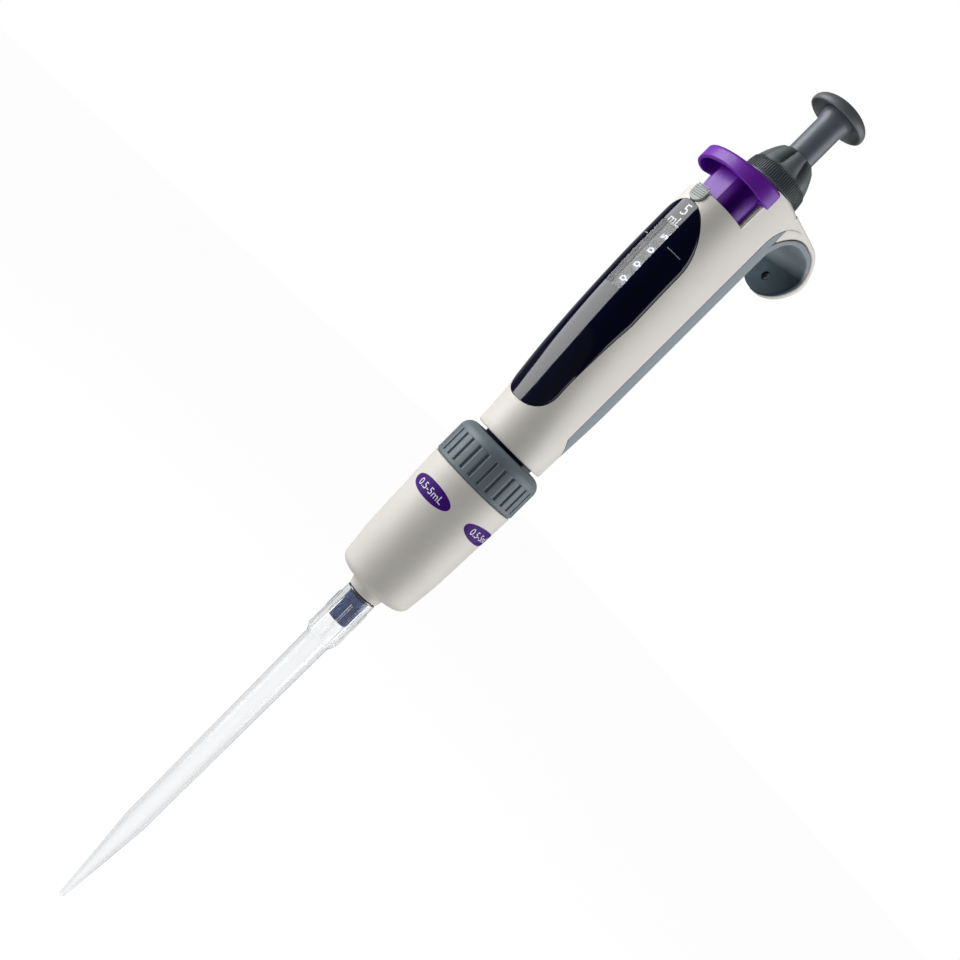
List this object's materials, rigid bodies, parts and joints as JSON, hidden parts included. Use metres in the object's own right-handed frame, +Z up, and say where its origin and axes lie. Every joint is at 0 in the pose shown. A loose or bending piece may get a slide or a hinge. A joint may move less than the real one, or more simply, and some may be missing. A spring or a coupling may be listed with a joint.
{
  "type": "micropipette",
  "caption": "Adjustable hand-held micropipette with push button, volume knob, counter window, finger hook, tip ejector and a clear disposable tip, hung upright by its hook.",
  "frame": {"origin": "middle of the flat rest under the crown of the finger hook", "axes": "+Z up along the pipette from tip to push button, +Y from the window side towards the hook"},
  "size_m": [0.0362, 0.0651, 0.392],
  "materials": {
    "body_white": "fine moulded texture",
    "grip_grey": "soft-touch matt",
    "knob_grey": "satin",
    "ejector_purple": "satin gloss",
    "lens_navy": "polished",
    "lock_grey": "satin",
    "neck_navy": "satin",
    "nozzle_blue": "satin gloss",
    "tip_clear": null,
    "seal_black": "matt",
    "filter_white": "porous",
    "steel": "ground",
    "brass": "turned",
    "drum_white": "satin",
    "inner_plastic": "satin"
  },
  "bodies": {
    "handle": {"handle_housing": "body_white", "grip_insert": "grip_grey", "window_lens": "lens_navy", "hook_screw": "steel", "core_tube": "inner_plastic", "lead_nut": "brass", "top_bush": "brass", "counter_frame": "inner_plastic", "zero_ring": "drum_white", "carry_axle": "steel", "cylinder_head": "neck_navy", "cylinder": "inner_plastic", "nozzle": "nozzle_blue", "nozzle_o_ring": "seal_black", "nozzle_filter": "filter_white", "primary_spring": "steel", "blowout_spring": "steel", "ejector_spring": "steel"},
    "plunger": {"piston": "inner_plastic", "piston_seal": "seal_black", "piston_rod": "steel", "rod_collar": "brass", "plunger_stem": "knob_grey", "push_button": "knob_grey"},
    "volume_drive": {"volume_knob": "knob_grey", "drive_sleeve": "inner_plastic", "lead_screw": "brass", "drive_gear": "drum_white"},
    "counter_shaft": {"counter_axle": "steel", "input_gear": "drum_white", "drum_hundredths": "drum_white"},
    "tenths": {"drum_tenths": "drum_white"},
    "ones": {"drum_ones": "drum_white"},
    "carry_low": {"carry_pinion_low": "drum_white"},
    "carry_high": {"carry_pinion_high": "drum_white"},
    "ejector": {"ejector_button": "ejector_purple", "ejector_fork": "inner_plastic", "ejector_sleeve": "body_white"},
    "ring_nut": {"ring_nut": "grip_grey"},
    "tip": {"tip": "tip_clear"},
    "lock": {"lock_slide": "lock_grey"}
  },
  "joints": [
    {"name": "plunger_slide", "type": "slide", "parent": "handle", "child": "plunger", "axis": [0, 0, -1], "range_m": [0, 0.016], "stiffness_N_per_m": 350, "springref_m": -0.012, "deforming": ["primary_spring", "blowout_spring"]},
    {"name": "knob_turn", "type": "hinge", "parent": "handle", "child": "volume_drive", "pos_m": [0, -0.024, 0.0064], "axis": [0, 0, 1], "range_deg": [-8100, 0]},
    {"name": "shaft_turn", "type": "hinge", "parent": "handle", "child": "counter_shaft", "pos_m": [0, -0.0375, -0.047], "axis": [0, 0, 1], "range_deg": [0, 16200]},
    {"name": "tenths_turn", "type": "hinge", "parent": "handle", "child": "tenths", "pos_m": [0, -0.0375, -0.047], "axis": [0, 0, 1], "range_deg": [0, 1620]},
    {"name": "ones_turn", "type": "hinge", "parent": "handle", "child": "ones", "pos_m": [0, -0.0375, -0.047], "axis": [0, 0, 1], "range_deg": [0, 162]},
    {"name": "carry_low_turn", "type": "hinge", "parent": "handle", "child": "carry_low", "pos_m": [0.0063, -0.0375, -0.047], "axis": [0, 0, 1], "range_deg": [-4050, 0]},
    {"name": "carry_high_turn", "type": "hinge", "parent": "handle", "child": "carry_high", "pos_m": [0.0063, -0.0375, -0.047], "axis": [0, 0, 1], "range_deg": [-405, 0]},
    {"name": "ejector_slide", "type": "slide", "parent": "handle", "child": "ejector", "axis": [0, 0, -1], "range_m": [0, 0.0055], "stiffness_N_per_m": 600, "springref_m": -0.004, "deforming": ["ejector_spring"]},
    {"name": "ring_nut_turn", "type": "hinge", "parent": "ejector", "child": "ring_nut", "pos_m": [0, -0.024, -0.134], "axis": [0, 0, 1], "range_deg": [0, 45]},
    {"name": "tip_slide", "type": "slide", "parent": "ejector", "child": "tip", "axis": [0, 0, -1], "range_m": [0, 0.02]},
    {"name": "lock_slide_move", "type": "slide", "parent": "handle", "child": "lock", "axis": [0, 0, 1], "range_m": [0, 0.002]}
  ],
  "couplings": [
    {"joint": "shaft_turn", "follows": "knob_turn", "ratio": -2},
    {"joint": "tenths_turn", "follows": "knob_turn", "ratio": -0.2},
    {"joint": "ones_turn", "follows": "knob_turn", "ratio": -0.02},
    {"joint": "carry_low_turn", "follows": "knob_turn", "ratio": 0.5},
    {"joint": "carry_high_turn", "follows": "knob_turn", "ratio": 0.05}
  ]
}
